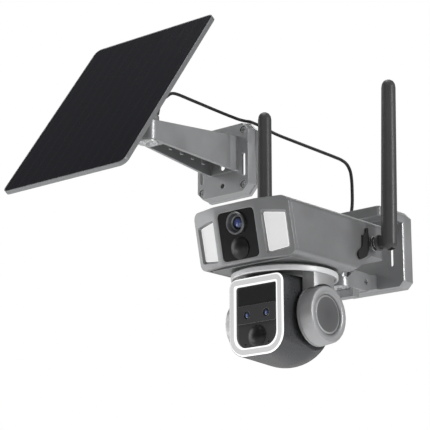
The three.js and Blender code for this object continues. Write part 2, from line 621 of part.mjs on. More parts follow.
const baseFront = BODY_FRONT + WING_SET_BACK + BEZEL_T + 1;
const basePlan = outline([
  [-baseX, baseFront, 0], [baseX, baseFront, 0], [baseX, baseRear, 2], [-baseX, baseRear, 2],
], 4);
add('housing_base_plate', cut(
  join(
    prismZ(basePlan, BODY_BOTTOM + 0.3, BODY_BOTTOM + 3),
    tube(44, 50, BODY_BOTTOM - 1.6, BODY_BOTTOM - 0.3, V(0, PAN_Y, 0), Z, 36),
    tube(44, 50, BODY_BOTTOM - 0.8, BODY_BOTTOM + 1, V(0, PAN_Y, 0), Z, 36)
      .intersect(box(-60, 60, -300, baseRear, -60, 0)),
  ),
  rod(8.3, -60, -40, V(0, PAN_Y, 0), Z, 20),
), DARK_SILVER, 0.5, 0.2);

// front facet frames: local (across, up the face, out of the face)
const faceUp = V(0, FRONT_LEAN, 1).normalize();
const facePoint = V(0, BODY_FRONT, BODY_BOTTOM);
const centreFrame = { at: facePoint, ex: X, ey: faceUp, ez: new THREE.Vector3().crossVectors(X, faceUp) };
function wingFrame(side) {
  const along = V(BODY_HALF - FACET_HALF, side * WING_SET_BACK, 0).normalize();
  const out = new THREE.Vector3().crossVectors(along, faceUp).normalize();
  const up = new THREE.Vector3().crossVectors(out, along).normalize();
  return { at: V(side * FACET_HALF, BODY_FRONT, BODY_BOTTOM), ex: along, ey: up, ez: out };
}
const inFrame = (f, points, d0, d1) => toFrame(
  extrude(points, d1 - d0), f.at.clone().addScaledVector(f.ez, d0), f.ex, f.ey, f.ez,
);
const frameRod = (f, u, v, r, d0, d1, segments = 20) => rod(
  r, d0, d1, f.at.clone().addScaledVector(f.ex, u).addScaledVector(f.ey, v), f.ez, segments,
);

const lensPlateOutline = (grow) => outline([
  [-25 - grow, 3.4 - grow, 5.5], [25 + grow, 3.4 - grow, 5.5],
  [25 + grow, 55.8 + grow, 5.5], [-25 - grow, 55.8 + grow, 5.5],
], 6);
// LED window corners: across from the facet edge, up the face
function windowOutline(side, grow) {
  const corners = [
    [8 - grow, 7.4 - grow * 1.05, 2], [29.3 + grow, 10.7 - grow * 0.9, 2],
    [27.9 + grow, 45 + grow * 0.9, 2], [5.3 - grow, 47.8 + grow * 1.05, 2],
  ].map(([u, v, r]) => [side * u, v, r]);
  return outline(side > 0 ? corners : corners.reverse(), 3);
}
function windowFunnel(side) {
  const f = wingFrame(side);
  const lift = (p, d) => f.at.clone()
    .addScaledVector(f.ex, p.x).addScaledVector(f.ey, p.y).addScaledVector(f.ez, d);
  return join(
    hull([
      ...windowOutline(side, 3.8).map((p) => lift(p, 0.8)),
      ...windowOutline(side, 1.3).map((p) => lift(p, -2.7)),
    ]),
    inFrame(f, windowOutline(side, 1.3), -12, -2.5),
  );
}
const bezel = cut(
  outer.intersect(behindFront(0)),
  behindFront(BEZEL_T),
  inFrame(centreFrame, lensPlateOutline(GAP), -12, 3),
  windowFunnel(1),
  windowFunnel(-1),
);
add('housing_front_bezel', bezel, SILVER, 0.4, 0.35);

const LENS_V = 42.2;
const PIR_V = 15.4;
add('lens_plate', cut(
  inFrame(centreFrame, lensPlateOutline(0), -4.2, -0.7),
  frameRod(centreFrame, 0, LENS_V, 11.6, -6, 3, 24),
  frameRod(centreFrame, 0, PIR_V, 10.9, -6, 3, 24),
), BLACK, 0.25, 0);
const axisAt = (f, u, v) => f.at.clone().addScaledVector(f.ex, u).addScaledVector(f.ey, v);
const lensAt = axisAt(centreFrame, 0, LENS_V);
add('lens_barrel', turned([
  [6.8, -14], [11.3, -14], [11.3, -0.5], [12.4, -0.5], [12.4, 2.4], [11.6, 3.4], [10.4, 3.4], [9.8, 2.4],
  [8.2, -1.2], [7.4, -1.6], [6.8, -2.4], [6.8, -14],
], lensAt, centreFrame.ez, 24), 0x6d6f72, 0.3, 0.7);
add('lens_glass', turned([
  [0, -8], [6.5, -8], [6.5, -3.4], [5.8, -2.6], [4.2, -1.8], [2.2, -1.3], [0, -1.1],
], lensAt, centreFrame.ez, 20), 0x27407a, 0.08, 0);
add('pir_dome', turned([
  [0, -4], [10.6, -4], [10.6, -0.2], [11.9, -0.2], [11.9, 0.7], [11, 0.9], [10.4, 1.8], [8.9, 3], [6.4, 4.1],
  [3.4, 4.7], [0, 4.9],
], axisAt(centreFrame, 0, PIR_V), centreFrame.ez, 20), BLACK, 0.2, 0);

for (const [side, label] of [[-1, 'left'], [1, 'right']]) {
  const f = wingFrame(side);
  add(`led_diffuser_${label}`, inFrame(f, windowOutline(side, 1), -4.6, -2.7), WHITE, 0.45, 0);
}

// rubber cover over the card slot and reset button, on the right side wall
const coverPlan = outline([
  [-121.2, 1.8, 1.8], [-121.4, -4, 2], [-127, -9, 6], [-128, -21, 5], [-137.5, -29, 4.6], [-133.5, -37, 4.2],
  [-120, -30.4, 5], [-115.9, -22, 5], [-115.9, -9, 5], [-117, -3.6, 1.6], [-117, 1.8, 1.8],
], 4);
add('rubber_port_cover', join(
  prismX(coverPlan, BODY_HALF + GAP, BODY_HALF + 2.4),
  box(BODY_HALF - 2.2, BODY_HALF + 0.8, -126.4, -117.4, -22.6, -7.4),
), 0x2c2d2f, 0.8, 0);

add('main_board', box(-55, 40, -236, -150, -38, -36.4), 0x2c5a36, 0.6, 0);
const cells = [0, 1, 2, 3].map((i) => rod(9.2, -33, 33, V(0, -225 + i * 18.2, -12), X, 16));
add('battery_pack', join(...cells), 0x3f6fb0, 0.45, 0);

// ---------------------------------------------------------------- antennas
for (const [side, label] of [[-1, 'left'], [1, 'right']]) {
  const out = V(side, 0, 0);
  const at = V(0, ANTENNA_Y, ANTENNA_Z);
  const wall = BODY_HALF;
  add(`antenna_socket_${label}`, turned([
    [3.3, wall - 9], [5.9, wall - 9], [5.9, wall + 2.9], [8.8, wall + 3], [8.8, wall + 4.8], [5.4, wall + 5.1],
    [5.4, wall + 5.6], [4.7, wall + 5.9], [4.7, wall + 7.5], [3.3, wall + 7.5], [3.3, wall - 9],
  ], at, out, 20), STEEL, 0.28, 0.9);
  const hub = turned([
    [0, wall + 4.6], [3, wall + 4.6], [3, wall + 7.9], [8.6, wall + 7.9], [9, wall + 8.6], [9, wall + 10.6],
    [7.8, wall + 11.5], [0, wall + 11.5],
  ], at, out, 20);
  add(`antenna_knuckle_${label}`, cut(
    join(
      hub,
      box(
        Math.min(side * (wall + 10.5), side * ANTENNA_X), Math.max(side * (wall + 10.5), side * ANTENNA_X),
        ANTENNA_Y - 3.3, ANTENNA_Y + 3.3, ANTENNA_Z - 5.4, ANTENNA_Z + 5.4,
      ),
      rod(5.4, -3.3, 3.3, V(side * ANTENNA_X, ANTENNA_Y, ANTENNA_Z), Y, 20),
    ),
    rod(1.9, -20, 20, V(side * ANTENNA_X, ANTENNA_Y, ANTENNA_Z), Y, 12),
  ), BLACK, 0.5, 0);
  const lean = rad(ANTENNA_LEAN);
  const splay = side < 0 ? rad(LEFT_SPLAY) : 0;
  const up = V(-Math.sin(splay), Math.sin(lean), Math.cos(lean)).normalize();
  const rodAt = V(side * ANTENNA_X, ANTENNA_Y, ANTENNA_Z);
  const blade = turned([
    [0, -10.8], [3.6, -10.1], [6.6, -8.5], [8.3, -6.2], [8.9, -2.6], [8.9, 40], [8.5, 110], [8.1, 180], [7.4, 184.2],
    [5.6, 187.2], [3, 188.8], [0, 189.2],
  ], rodAt, up, 20);
  const [slotIn, slotOut] = [side * (ANTENNA_X - 10.5), side * (ANTENNA_X + 5.8)];
  const slotBox = box(
    Math.min(slotIn, slotOut), Math.max(slotIn, slotOut),
    ANTENNA_Y - 3.6, ANTENNA_Y + 3.6, ANTENNA_Z - 14, ANTENNA_Z + 8.4,
  );
  add(`antenna_${label}`, join(
    cut(blade, slotBox),
    rod(1.6, -5.4, 5.4, rodAt, Y, 12),
  ), 0x232426, 0.5, 0);
}

// ---------------------------------------------------------------- pan unit
const panAt = V(0, PAN_Y, 0);
const tiltAt = V(0, PAN_Y, TILT_Z);
const yokeTable = turned([
  [0, TABLE_Z[0] + 2.6], [55.4, TABLE_Z[0] + 2.6], [56, TABLE_Z[0]], [58.2, TABLE_Z[0]], [TABLE_R, TABLE_Z[0] + 0.8],
  [TABLE_R, TABLE_Z[1] - 0.8], [58.2, TABLE_Z[1]], [0, TABLE_Z[1]],
], panAt, Z, 44);
const yokeArms = [-1, 1].map((side) => {
  const [a, b] = [side * 38.6, side * 60];
  const slab = box(Math.min(a, b), Math.max(a, b), PAN_Y - 18, PAN_Y + 18, TILT_Z + 8, TABLE_Z[0] + 3)
    .intersect(rod(57, -110, TABLE_Z[0] + 3, panAt, Z, 56));
  const clearance = rod(33.2, 44.4, 70, tiltAt, V(side, 0, 0), 40);
  const disc = turned([
    [0, 40.6], [31.6, 40.6], [33, 42], [33, 44.2], [0, 44.2],
  ], tiltAt, V(side, 0, 0), 32);
  return join(cut(slab, clearance), disc);
});
add('pan_yoke', cut(
  join(yokeTable, ...yokeArms),
  rod(4.4, -70, 70, tiltAt, X, 16),
  rod(5.4, -70, -50, panAt, Z, 16),
), SILVER, 0.38, 0.4);
add('pan_shaft', join(
  rod(5.1, TABLE_Z[0] + 2.8, -50, panAt, Z, 16),
  rod(8, -51.6, -47, panAt, Z, 20),
  rod(14, -46.6, -44, panAt, Z, 24),
  rod(5.1, -47.5, -46, panAt, Z, 16),
), STEEL, 0.35, 0.8);
for (const [side, label] of [[-1, 'left'], [1, 'right']]) {
  const out = V(side, 0, 0);
  add(`yoke_cover_${label}`, turned([
    [26, 44.5], [32.6, 44.5], [32.6, 45.6], [31.2, 58], [30.2, 59.6], [28.4, 60.2], [24.6, 60.2], [22.6, 59], [21.6, 57.4],
    [20.4, 57.4], [19.6, 58.2], [0, 58.8], [0, 56.2], [19, 55.8], [26, 55.2], [26, 44.5],
  ], tiltAt, out, 28), SILVER, 0.38, 0.4);
  add(`tilt_axle_${label}`, join(
    rod(4.1, 33.5, 46.5, tiltAt, out, 16),
    rod(7, 44.6, 47.4, tiltAt, out, 16),
  ), STEEL, 0.35, 0.8);
}

// ---------------------------------------------------------------- camera head
const ringOutline = (grow) => outline([
  [-RING.half - grow, TILT_Z + RING.bottom - grow, RING.rBottom + grow],
  [RING.half + grow, TILT_Z + RING.bottom - grow, RING.rBottom + grow],
  [RING.half + grow, TILT_Z + RING.top + grow, RING.rTop + grow],
  [-RING.half - grow, TILT_Z + RING.top + grow, RING.rTop + grow],
], 7);
const windowInset = outline([
  [-RING.half + RING_BAND, TILT_Z + RING.bottom + RING_BAND, 15],
  [RING.half - RING_BAND, TILT_Z + RING.bottom + RING_BAND, 15],
  [RING.half - RING_BAND, TILT_Z + RING.top - RING_BAND, 3],
  [-RING.half + RING_BAND, TILT_Z + RING.top - RING_BAND, 3],
], 7);

function headHull(shrink, frontY, steps, stations) {
  const points = ringOutline(0.5 - shrink).map((p) => V(p.x, PAN_Y + frontY, p.y));
  points.push(...ringOutline(0.3 - shrink).map((p) => V(p.x, PAN_Y - 38, p.y)));
  const r = HEAD_R - shrink;
  const half = HEAD_HALF - shrink;
  const top = 43 - shrink;
  for (let i = 0; i <= steps; i += 1) {
    const a = Math.PI + (i * Math.PI) / steps;    // bottom half, front to rear
    for (let k = -stations; k <= stations; k += 1) {
      const x = r * Math.sin((k * Math.asin(half / r)) / stations);
      const radial = Math.sqrt(r * r - x * x);
      const [y, z] = [radial * Math.cos(a), radial * Math.sin(a)];
      if (y < 42.5 - shrink && y > -36) points.push(V(x, PAN_Y + y, TILT_Z + z));
    }
  }
  for (let i = 0; i <= 9; i += 1) {
    const a = (i * Math.PI) / 18;                 // top quarter, rear to crown
    for (const [x, drop] of [[-half, 3], [-half + 3, 0], [half - 3, 0], [half, 3]]) {
      points.push(V(x, PAN_Y + (top - drop) * Math.cos(a), TILT_Z + (top - drop) * Math.sin(a)));
    }
  }
  return hull(points);
}
const headBody = cut(
  headHull(0, RING_Y + 1.7, 36, 9),
  headHull(2.4, RING_Y - 1, 12, 3),
  rod(4.4, -60, 60, tiltAt, X, 16),
);
add('head_body', headBody, 0x5a5c5f, 0.5, 0.1);
add('ring_light', cut(
  join(
    hull([
      ...ringOutline(0).map((p) => V(p.x, PAN_Y + RING_Y + 1.4, p.y)),
      ...ringOutline(-1.2).map((p) => V(p.x, PAN_Y + RING_Y, p.y)),
    ]),
    prismY(ringOutline(-2.4), PAN_Y + RING_Y + 1.2, PAN_Y + RING_Y + 2.4),
  ),
  prismY(windowInset, PAN_Y + RING_Y - 2, PAN_Y + RING_Y + 8),
), WHITE, 0.4, 0);
const shrinkPoints = (points, d) => {
  const centre = new THREE.Vector2(0, TILT_Z - 0.8);
  return points.map((p) => {
    const v = p.clone().sub(centre);
    return new THREE.Vector2(centre.x + v.x * (1 - d / 28.5), centre.y + v.y * (1 - d / 34));
  });
};
const frontY = PAN_Y + RING_Y;
const barZ = [TILT_Z - 8.2, TILT_Z + 11.6];
const barMid = (barZ[0] + barZ[1]) / 2;
const lensX = 13.2;
const lensZ = TILT_Z + 1.1;
const headPir = V(0, frontY + 0.8, TILT_Z - 22.6);
const barOutline = outline([
  [-26.6, barZ[0], 2.4], [26.6, barZ[0], 2.4], [26.6, barZ[1], 2.4], [-26.6, barZ[1], 2.4],
], 4);
const barHole = outline([
  [-24, barZ[0] + 2.6, 1.5], [24, barZ[0] + 2.6, 1.5], [24, barZ[1] - 2.6, 1.5], [-24, barZ[1] - 2.6, 1.5],
], 3);
add('head_front_panel', cut(
  prismY(shrinkPoints(windowInset, -2.5), frontY + 2.7, frontY + 5.2),
  prismY(barHole, frontY, frontY + 8),
  rod(10.4, -2, 10, headPir, Y, 24),
  rod(1, 2, 4.2, V(-15.8, frontY, TILT_Z - 30.2), Y, 12),
  rod(1, 2, 4.2, V(15.8, frontY, TILT_Z - 30.2), Y, 12),
), BLACK, 0.22, 0);
add('head_lens_window', cut(
  join(
    prismY(barOutline, frontY + 1.3, frontY + 2.4),
    prismY(
      barHole.map((p) => new THREE.Vector2(p.x * 0.98, barMid + (p.y - barMid) * 0.95)),
      frontY + 2.2, frontY + 4.2,
    ),
  ),
  ...[-1, 1].map((side) => rod(4.5, -2, 8, V(side * lensX, frontY, lensZ), Y, 16)),
), 0x303133, 0.12, 0);
for (const [side, label] of [[-1, 'left'], [1, 'right']]) {
  add(`head_lens_${label}`, turned([
    [0, -14], [6, -14], [6, -4], [4.2, -4], [4.2, -1], [3.5, -1], [3.1, -1.9], [2.2, -1.5], [1.1, -1.25],
    [0, -1.2],
  ], V(side * lensX, frontY + 0.7, lensZ), minus(Y), 16), 0x1b2440, 0.1, 0);
}
add('head_pir_dome', turned([
  [0, -6], [10.1, -6], [10.1, -1.6], [11.7, -1.6], [11.7, -0.8], [10.6, -0.4], [9.8, 0.8], [8.2, 1.9],
  [5.9, 2.8], [3.1, 3.4], [0, 3.6],
], headPir, minus(Y), 20), BLACK, 0.2, 0);
add('head_board', box(-27, 27, frontY + 15, frontY + 16.6, TILT_Z - 30, TILT_Z + 30), 0x2c5a36, 0.6, 0);

export default group;
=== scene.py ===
import json
import math

import bmesh
import bpy
import numpy as np
from mathutils import Matrix, Vector


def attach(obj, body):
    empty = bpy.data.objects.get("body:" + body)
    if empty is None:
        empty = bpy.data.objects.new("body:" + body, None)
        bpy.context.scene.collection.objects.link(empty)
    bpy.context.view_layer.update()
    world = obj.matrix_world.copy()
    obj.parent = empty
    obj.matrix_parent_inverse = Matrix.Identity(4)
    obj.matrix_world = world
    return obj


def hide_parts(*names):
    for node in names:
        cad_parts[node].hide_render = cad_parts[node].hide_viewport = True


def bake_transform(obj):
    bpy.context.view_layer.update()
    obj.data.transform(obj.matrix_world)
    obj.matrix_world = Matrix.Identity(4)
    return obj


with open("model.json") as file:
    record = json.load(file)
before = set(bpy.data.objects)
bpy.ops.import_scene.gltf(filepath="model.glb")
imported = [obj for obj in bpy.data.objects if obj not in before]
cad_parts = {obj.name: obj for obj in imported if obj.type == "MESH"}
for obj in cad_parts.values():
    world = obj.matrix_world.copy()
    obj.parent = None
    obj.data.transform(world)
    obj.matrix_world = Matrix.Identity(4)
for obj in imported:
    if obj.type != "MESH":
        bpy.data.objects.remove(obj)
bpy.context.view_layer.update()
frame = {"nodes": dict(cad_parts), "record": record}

NODES = frame["nodes"]
JOINT_AT = {joint["name"]: Vector(joint["pos_m"]) for joint in frame["record"]["behaviour"]["joints"]}
ALONG_X = Vector((1, 0, 0))
ALONG_Z = Vector((0, 0, 1))

# ------------------------------------------------------------------ camera
CAMERA_AT = Vector((1.11963, -1.59397, -0.45143))
CAMERA_AZIMUTH = math.radians(40.82)
CAMERA_ELEVATION = math.radians(-14.56)
CAMERA_ROLL = math.radians(0.15)
FOCAL_LENGTH_MM = 140.763


def add_camera():
    """The photograph's camera, looking up at the object from its right."""
    back = Vector((
        math.sin(CAMERA_AZIMUTH) * math.cos(CAMERA_ELEVATION),
        -math.cos(CAMERA_AZIMUTH) * math.cos(CAMERA_ELEVATION),
        math.sin(CAMERA_ELEVATION),
    ))
    level = (-back).cross(ALONG_Z).normalized()
    down = (-back).cross(level)
    right = math.cos(CAMERA_ROLL) * level + math.sin(CAMERA_ROLL) * down
    below = -math.sin(CAMERA_ROLL) * level + math.cos(CAMERA_ROLL) * down
    lens = bpy.data.cameras.new("camera")
    lens.sensor_width = 36
    lens.lens = FOCAL_LENGTH_MM
    lens.clip_start = 0.05
    lens.clip_end = 50
    camera = bpy.data.objects.new("camera", lens)
    bpy.context.collection.objects.link(camera)
    camera.matrix_world = Matrix.Translation(CAMERA_AT) @ Matrix((right, -below, back)).transposed().to_4x4()
    bpy.context.scene.camera = camera


add_camera()


# ------------------------------------------------------------------ materials
class Nodes:
    """A small builder for one procedural material."""

    def __init__(self, name):
        self.material = bpy.data.materials.new(name)
        self.material.use_nodes = True
        self.tree = self.material.node_tree
        self.shader = next(n for n in self.tree.nodes if n.type == "BSDF_PRINCIPLED")
        self.place = self.tree.nodes.new("ShaderNodeTexCoord").outputs["Object"]

    def new(self, kind, **settings):
        node = self.tree.nodes.new(kind)
        for key, value in settings.items():
            setattr(node, key, value)
        return node

    def link(self, source, target):
        self.tree.links.new(source, target)

    def noise(self, scale, detail=3, roughness=0.5, stretch=None):
        node = self.new("ShaderNodeTexNoise")
        node.inputs["Scale"].default_value = scale
        node.inputs["Detail"].default_value = detail
        node.inputs["Roughness"].default_value = roughness
        place = self.place
        if stretch:
            mapping = self.new("ShaderNodeMapping")
            mapping.inputs["Scale"].default_value = stretch
            self.link(place, mapping.inputs["Vector"])
            place = mapping.outputs["Vector"]
        self.link(place, node.inputs["Vector"])
        return node.outputs["Fac"]

    def span(self, value, low, high, to_low, to_high):
        node = self.new("ShaderNodeMapRange")
        for name, number in (
            ("From Min", low), ("From Max", high), ("To Min", to_low), ("To Max", to_high),
        ):
            node.inputs[name].default_value = number
        self.link(value, node.inputs["Value"])
        return node.outputs["Result"]

    def math(self, operation, a, b=None):
        node = self.new("ShaderNodeMath", operation=operation)
        for socket, value in zip(node.inputs, (a, b)):
            if value is None:
                continue
            if isinstance(value, (int, float)):
                socket.default_value = value
            else:
                self.link(value, socket)
        return node.outputs[0]

    def dot(self, vector, direction):
        node = self.new("ShaderNodeVectorMath", operation="DOT_PRODUCT")
        self.link(vector, node.inputs[0])
        node.inputs[1].default_value = direction
        return node.outputs["Value"]

    def mix(self, factor, a, b):
        node = self.new("ShaderNodeMix", data_type="RGBA")
        self.link(factor, node.inputs["Factor"])
        for name, value in (("A", a), ("B", b)):
            socket = [s for s in node.inputs if s.name == name and s.type == "RGBA"][0]
            if isinstance(value, tuple):
                socket.default_value = (*value, 1)
            else:
                self.link(value, socket)
        return [s for s in node.outputs if s.type == "RGBA"][0]

    def ramp(self, value, stops):
        node = self.new("ShaderNodeValToRGB")
        elements = node.color_ramp.elements
        while len(elements) < len(stops):
            elements.new(0.5)
        for element, (at, color) in zip(elements, stops):
            element.position = at
            element.color = (*color, 1)
        self.link(value, node.inputs["Fac"])
        return node.outputs["Color"]

    def rounded(self, radius):
        """The normal of the surface with its edges rounded off, in looks only."""
        node = self.new("ShaderNodeBevel", samples=6)
        node.inputs["Radius"].default_value = radius
        return node.outputs["Normal"]

    def edges(self, normal):
        """1 on an edge, where the rounded normal leaves the face's own, and 0 on a flat face."""
        node = self.new("ShaderNodeVectorMath", operation="DOT_PRODUCT")
        self.link(normal, node.inputs[0])
        self.link(self.new("ShaderNodeNewGeometry").outputs["Normal"], node.inputs[1])
        return self.span(node.outputs["Value"], 0.985, 0.82, 0, 1)

    def bump(self, height, distance, strength=1.0, normal=None):
        node = self.new("ShaderNodeBump")
        node.inputs["Distance"].default_value = distance
        node.inputs["Strength"].default_value = strength
        self.link(height, node.inputs["Height"])
        if normal is not None:
            self.link(normal, node.inputs["Normal"])
        return node.outputs["Normal"]

    def from_point(self, at):
        offset = self.new("ShaderNodeVectorMath", operation="SUBTRACT")
        self.link(self.place, offset.inputs[0])
        offset.inputs[1].default_value = at
        return offset.outputs[0]

    def from_axis(self, at, axis):
        """Distance in metres from a line through a point."""
        offset = self.from_point(at)
        along = self.new("ShaderNodeVectorMath", operation="PROJECT")
        self.link(offset, along.inputs[0])
        along.inputs[1].default_value = axis
        away = self.new("ShaderNodeVectorMath", operation="SUBTRACT")
        self.link(offset, away.inputs[0])
        self.link(along.outputs[0], away.inputs[1])
        size = self.new("ShaderNodeVectorMath", operation="LENGTH")
        self.link(away.outputs[0], size.inputs[0])
        return size.outputs["Value"]

    def put(self, socket, value):
        target = self.shader.inputs[socket]
        if isinstance(value, (int, float)):
            target.default_value = value
        elif isinstance(value, tuple):
            target.default_value = (*value, 1)
        else:
            self.link(value, target)


def moulded(name, color, roughness, metallic, grain, depth, round_edge, edge_wear_and_highlight, mottle=0.06):
    """Paint or moulded plastic: fine grain, slight blotches in tone and gloss, and lighter edges, partly
    scuffed and partly a painted highlight.

    grain is the grain's scale and depth its height in metres; round_edge is a radius in metres.
    """
    n = Nodes(name)
    blotch = n.noise(34, 4, 0.55)
    fine = n.noise(grain, 2, 0.6)
    dark = tuple(c * (1 - mottle) for c in color)
    light = tuple(min(1, c * (1 + mottle)) for c in color)
    tone = n.mix(n.span(blotch, 0.3, 0.7, 0, 1), dark, light)
    normal = n.rounded(round_edge)
    # Edges are lightened: partly scuffing, partly a painted highlight along every edge.
    rubbed_and_highlit_edges = n.math("MULTIPLY", n.edges(normal), n.span(blotch, 0.35, 0.65, edge_wear_and_highlight * 0.5, edge_wear_and_highlight))
    wear_and_highlight_tone = tuple(min(1, c + 0.4) for c in color)
    n.put("Base Color", n.mix(rubbed_and_highlit_edges, tone, wear_and_highlight_tone))
    n.put("Roughness", n.span(blotch, 0.25, 0.75, roughness - 0.035, roughness + 0.035))
    n.put("Metallic", metallic)
    n.put("Normal", n.bump(fine, depth, 1.0, normal))
    return n.material


def brushed(name, color, roughness, stretch, metallic=1.0):
    """Drawn or turned metal with a fine directional grain."""
    n = Nodes(name)
    streak = n.noise(220, 4, 0.6, stretch)
    blotch = n.noise(45, 3)
    dark = tuple(c * 0.86 for c in color)
    n.put("Base Color", n.mix(streak, dark, color))
    n.put("Roughness", n.span(blotch, 0.25, 0.75, roughness - 0.05, roughness + 0.06))
    n.put("Metallic", metallic)
    n.put("Normal", n.bump(streak, 0.00001, 0.7, n.rounded(0.0005)))
    return n.material


SILVER_PAINT = moulded("silver_paint", (0.44, 0.445, 0.45), 0.33, 0.6, 1100, 0.000025, 0.0009, 0.6)
SILVER_PLASTIC = moulded("silver_plastic", (0.34, 0.343, 0.348), 0.38, 0.6, 1300, 0.000018, 0.0011, 0.75)
# The caps' near-white silver is a painted highlight, a lightened copy of the silver standing in for the shine
# on their rims.
SILVER_CAP_PAINTED_HIGHLIGHT = moulded("cap_silver_painted_highlight", (0.85, 0.855, 0.86), 0.36, 0.3, 1300, 0.000015, 0.0005, 0.2)
GRAPHITE = moulded("graphite_plastic", (0.105, 0.107, 0.111), 0.28, 0.6, 1400, 0.000008, 0.0006, 0.05, 0.02)
MATT_BLACK = moulded("matt_black_plastic", (0.078, 0.078, 0.08), 0.36, 0, 1500, 0.00002, 0.0006, 0.03)
GLOSS_BLACK = moulded("gloss_black_plastic", (0.017, 0.017, 0.018), 0.16, 0, 500, 0.000004, 0.0005, 0.02)
SATIN_BLACK = moulded("satin_black_dome", (0.004, 0.004, 0.0042), 0.34, 0, 700, 0.00001, 0.0008, 0.25)
SMOKED = moulded("smoked_window", (0.07, 0.07, 0.073), 0.14, 0, 500, 0.000004, 0.0005, 1.2)
RUBBER = moulded("black_rubber", (0.014, 0.014, 0.0145), 0.62, 0, 1800, 0.00003, 0.0006, 0.05)
CABLE = moulded("cable_jacket", (0.012, 0.012, 0.0125), 0.5, 0, 1600, 0.00002, 0.0003, 0.02)
BOARD = moulded("circuit_board", (0.02, 0.11, 0.04), 0.5, 0, 260, 0.0002, 0.0002, 0.1, 0.4)
CELLS = moulded("wrapped_cells", (0.03, 0.12, 0.42), 0.35, 0, 900, 0.00002, 0.0004, 0.05)
STEEL = brushed("bright_steel", (0.62, 0.62, 0.63), 0.26, (1, 8, 8))
ALUMINIUM = brushed("anodised_aluminium", (0.36, 0.365, 0.37), 0.4, (10, 1, 1), 0.8)
LENS_RING = brushed("turned_grey_ring", (0.22, 0.225, 0.23), 0.3, (4, 4, 4), 0.8)

# ------------------------------------------------------------------ solar panel face
PANEL_CENTRE = Vector((-0.2284, -0.2269, 0.1866))
PANEL_TILT = math.radians(54.9)
SLOPE = Vector((0, math.cos(PANEL_TILT), math.sin(PANEL_TILT)))
OUTWARD = Vector((0, -math.sin(PANEL_TILT), math.cos(PANEL_TILT)))
STRIP_PITCH = 0.0166
FINGER_PITCH = 0.00208
ROW_PITCH = 0.0445


def cell_glass():
    """Near-black cells under glass, with fine fingers, brighter strips and rows of cells."""
    n = Nodes("solar_cells")
    offset = n.from_point(PANEL_CENTRE)
    across = n.dot(offset, ALONG_X)
    up = n.dot(offset, SLOPE)

    def line(value, period, width, phase=0.0):
        part = n.math("FRACT", n.math("ADD", n.math("DIVIDE", value, period), 0.5 + phase))
        away = n.math("ABSOLUTE", n.math("SUBTRACT", part, 0.5))
        return n.span(away, width / period / 2, width / period / 2 * 0.4, 0, 1)

    finger = line(across, FINGER_PITCH, 0.0011)
    strip = line(across, STRIP_PITCH, 0.0012, 0.5)
    row = line(up, ROW_PITCH, 0.0009, 0.5)
    cloud = n.noise(14, 4)
    base = n.mix(n.span(cloud, 0.3, 0.7, 0, 1), (0.0024, 0.0027, 0.0066), (0.0034, 0.0037, 0.0084))
    fine = n.mix(n.math("MULTIPLY", finger, 0.32), base, (0.018, 0.0185, 0.027))
    gapped = n.mix(n.math("MULTIPLY", row, 0.22), fine, (0.004, 0.004, 0.006))
    barred = n.mix(n.math("MULTIPLY", strip, 0.42), gapped, (0.038, 0.036, 0.04))
    n.put("Base Color", barred)
    n.put("Roughness", n.span(n.noise(60, 2), 0.2, 0.8, 0.2, 0.3))
    n.put("Specular IOR Level", 0.1)
    n.put("Normal", n.bump(finger, 0.00001, 0.25))
    return n.material


def lit_white(name, glow):
    """A floodlight's diffuser: white, with a painted glow that stands in for the light falling on it,
    brightest along its edges as a painted highlight.
    """
    n = Nodes(name)
    speck = n.noise(420, 3, 0.7)
    n.put("Base Color", n.mix(speck, (0.658, 0.658, 0.6615), (0.7, 0.7, 0.7)))
    n.put("Roughness", n.span(speck, 0.2, 0.8, 0.34, 0.46))
    n.put("Emission Color", (1, 1, 1))
    # Glow is painted light, strongest on the edges as a painted highlight.
    n.put("Emission Strength", n.span(n.edges(n.rounded(0.0016)), 0, 1, glow, 1.0))
    n.put("Normal", n.bump(speck, 0.00002, 0.6))
    return n.material


def lens_look(name, at, axis, radius, rings):
    """Coated glass whose colour changes in rings around the lens's axis: the rings are painted reflections,
    with a painted pale blue glint in the middle.
    """
    n = Nodes(name)
    painted_glint_colour = n.ramp(n.math("DIVIDE", n.from_axis(at, axis), radius), rings)
    n.put("Base Color", painted_glint_colour)
    n.put("Roughness", n.span(n.noise(300, 2), 0.2, 0.8, 0.03, 0.07))
    n.put("Coat Weight", 1.0)
    n.put("Coat Roughness", 0.02)
    n.put("Coat Tint", (0.75, 0.82, 1.0))
    n.put("Specular IOR Level", 0.8)
    return n.material


RING_MIDDLE_Z = -0.1043
RING_HALF_WIDTH = 0.0373
RING_HALF_HEIGHT = 0.0428
RING_LOW_CORNER = 0.022
RING_TOP_CORNER = 0.010


